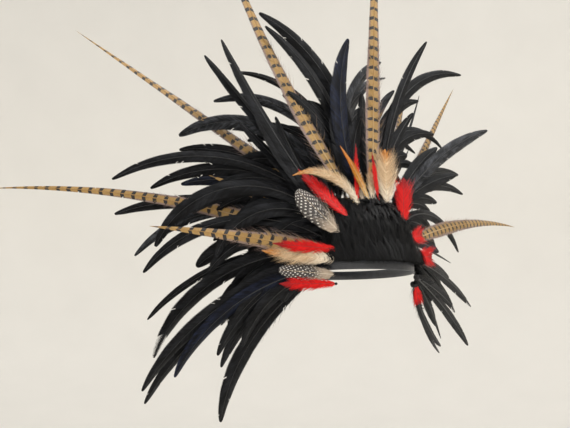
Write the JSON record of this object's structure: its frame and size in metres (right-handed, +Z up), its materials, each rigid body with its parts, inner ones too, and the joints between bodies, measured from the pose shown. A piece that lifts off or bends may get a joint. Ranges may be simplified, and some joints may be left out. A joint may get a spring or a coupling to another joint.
{
  "type": "feathered headdress",
  "caption": "Headdress of long curved cock feathers, barred pheasant tails and short coloured feathers fanned out behind a fur panel over the brow, on a headband.",
  "frame": {"origin": "centre of the headband's opening, level with the band's lower rim", "axes": "+Z up, the wearer faces -Y, the wearer's right hand is towards -X"},
  "size_m": [0.8656, 0.324, 0.7086],
  "materials": {
    "band": "satin coated fabric",
    "backing": "matte felt",
    "fur": "soft fur",
    "coque_feather": "satin feather",
    "pheasant_feather": "satin barred feather",
    "guinea_feather": "satin spotted feather",
    "cream_feather": "satin feather",
    "golden_feather": "satin feather",
    "red_feather": "satin feather"
  },
  "bodies": {
    "root": {"headband": "band", "backing_panel": "backing", "fur_panel": "fur", "coque_01": "coque_feather", "coque_02": "coque_feather", "coque_03": "coque_feather", "coque_04": "coque_feather", "coque_05": "coque_feather", "coque_06": "coque_feather", "coque_07": "coque_feather", "coque_08": "coque_feather", "coque_09": "coque_feather", "coque_10": "coque_feather", "coque_11": "coque_feather", "coque_12": "coque_feather", "coque_13": "coque_feather", "coque_14": "coque_feather", "coque_15": "coque_feather", "coque_16": "coque_feather", "coque_17": "coque_feather", "coque_18": "coque_feather", "coque_19": "coque_feather", "coque_20": "coque_feather", "coque_21": "coque_feather", "coque_22": "coque_feather", "coque_23": "coque_feather", "coque_24": "coque_feather", "coque_25": "coque_feather", "coque_26": "coque_feather", "coque_27": "coque_feather", "coque_28": "coque_feather", "coque_29": "coque_feather", "coque_30": "coque_feather", "coque_31": "coque_feather", "pheasant_1": "pheasant_feather", "pheasant_2": "pheasant_feather", "pheasant_3": "pheasant_feather", "pheasant_4": "pheasant_feather", "pheasant_5": "pheasant_feather", "pheasant_6": "pheasant_feather", "pheasant_7": "pheasant_feather", "pheasant_8": "pheasant_feather", "pheasant_9": "pheasant_feather", "guinea_1": "guinea_feather", "guinea_2": "guinea_feather", "guinea_3": "guinea_feather", "cream_1": "cream_feather", "cream_2": "cream_feather", "cream_3": "cream_feather", "cream_4": "cream_feather", "golden_1": "golden_feather", "red_1": "red_feather", "red_2": "red_feather", "red_3": "red_feather", "red_4": "red_feather", "red_5": "red_feather", "red_6": "red_feather", "red_7": "red_feather", "red_8": "red_feather", "red_9": "red_feather"}
  },
  "joints": []
}
